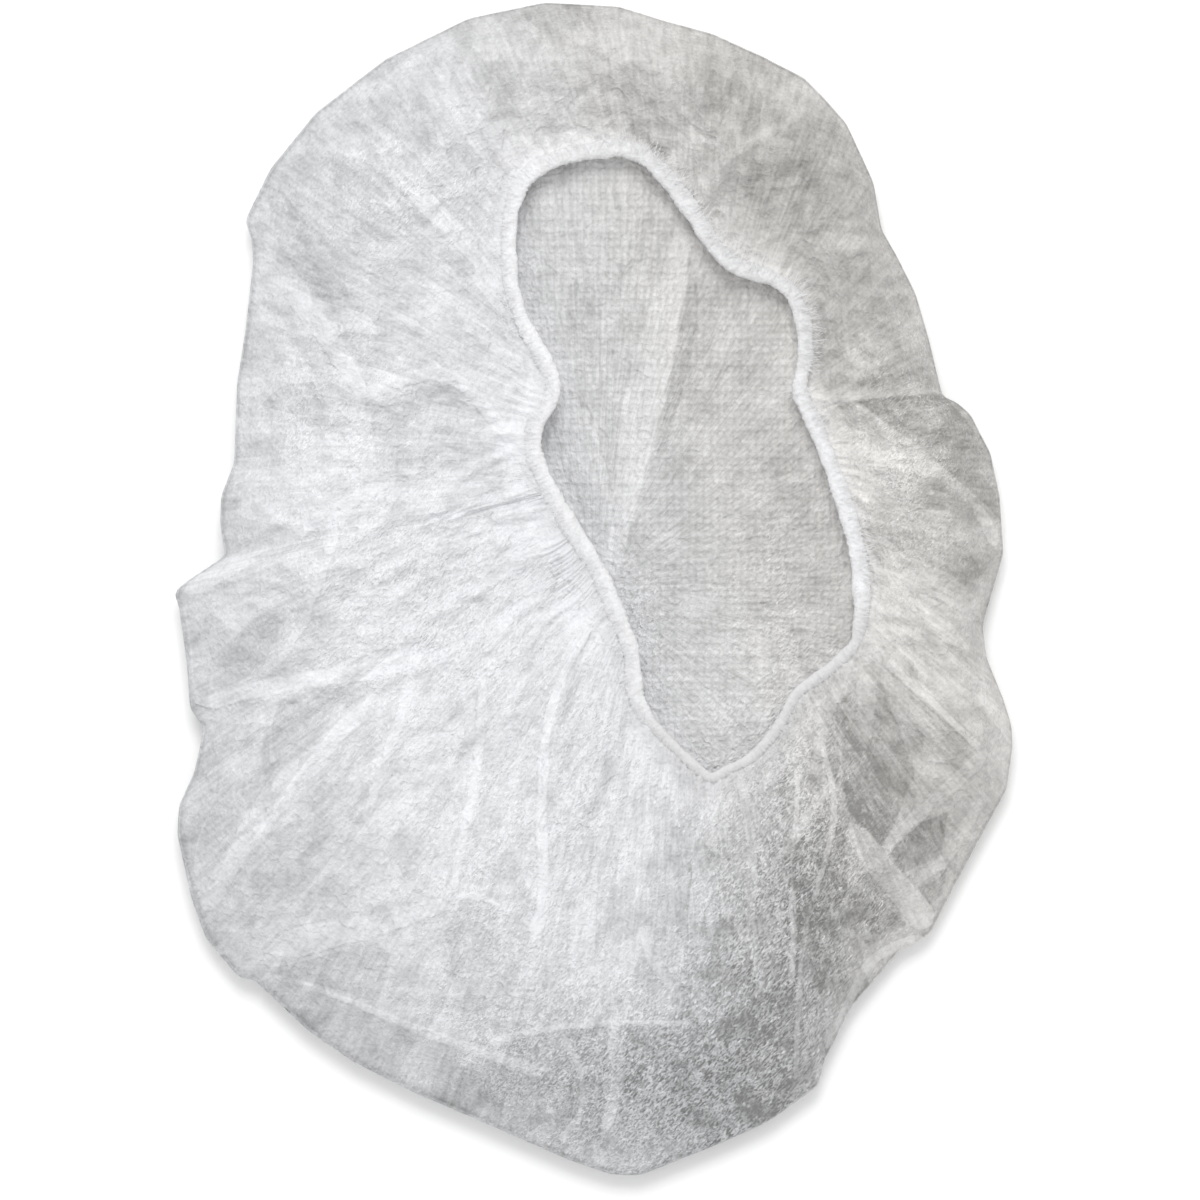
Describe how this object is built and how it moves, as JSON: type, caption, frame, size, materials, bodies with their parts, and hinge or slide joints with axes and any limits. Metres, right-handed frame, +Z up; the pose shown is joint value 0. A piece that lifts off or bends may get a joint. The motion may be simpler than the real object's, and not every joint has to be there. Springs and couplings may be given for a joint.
{
  "type": "disposable bouffant cap",
  "caption": "Nonwoven bouffant cap lying crown down, puffed ring of cloth gathered onto a white elastic loop round its opening.",
  "frame": {"origin": "on the surface that the cap lies on, under the middle of its outline", "axes": "+Z up out of the opening, +Y along the cap's length towards the end where the opening lies, +X to the right as seen from above"},
  "size_m": [0.247, 0.346, 0.032],
  "materials": {
    "nonwoven": "thin white spunbond, point bonded",
    "elastic_hem": "ruched white hem over elastic"
  },
  "bodies": {
    "root": {"cap_body": "nonwoven", "elastic_band": "elastic_hem"}
  },
  "joints": []
}
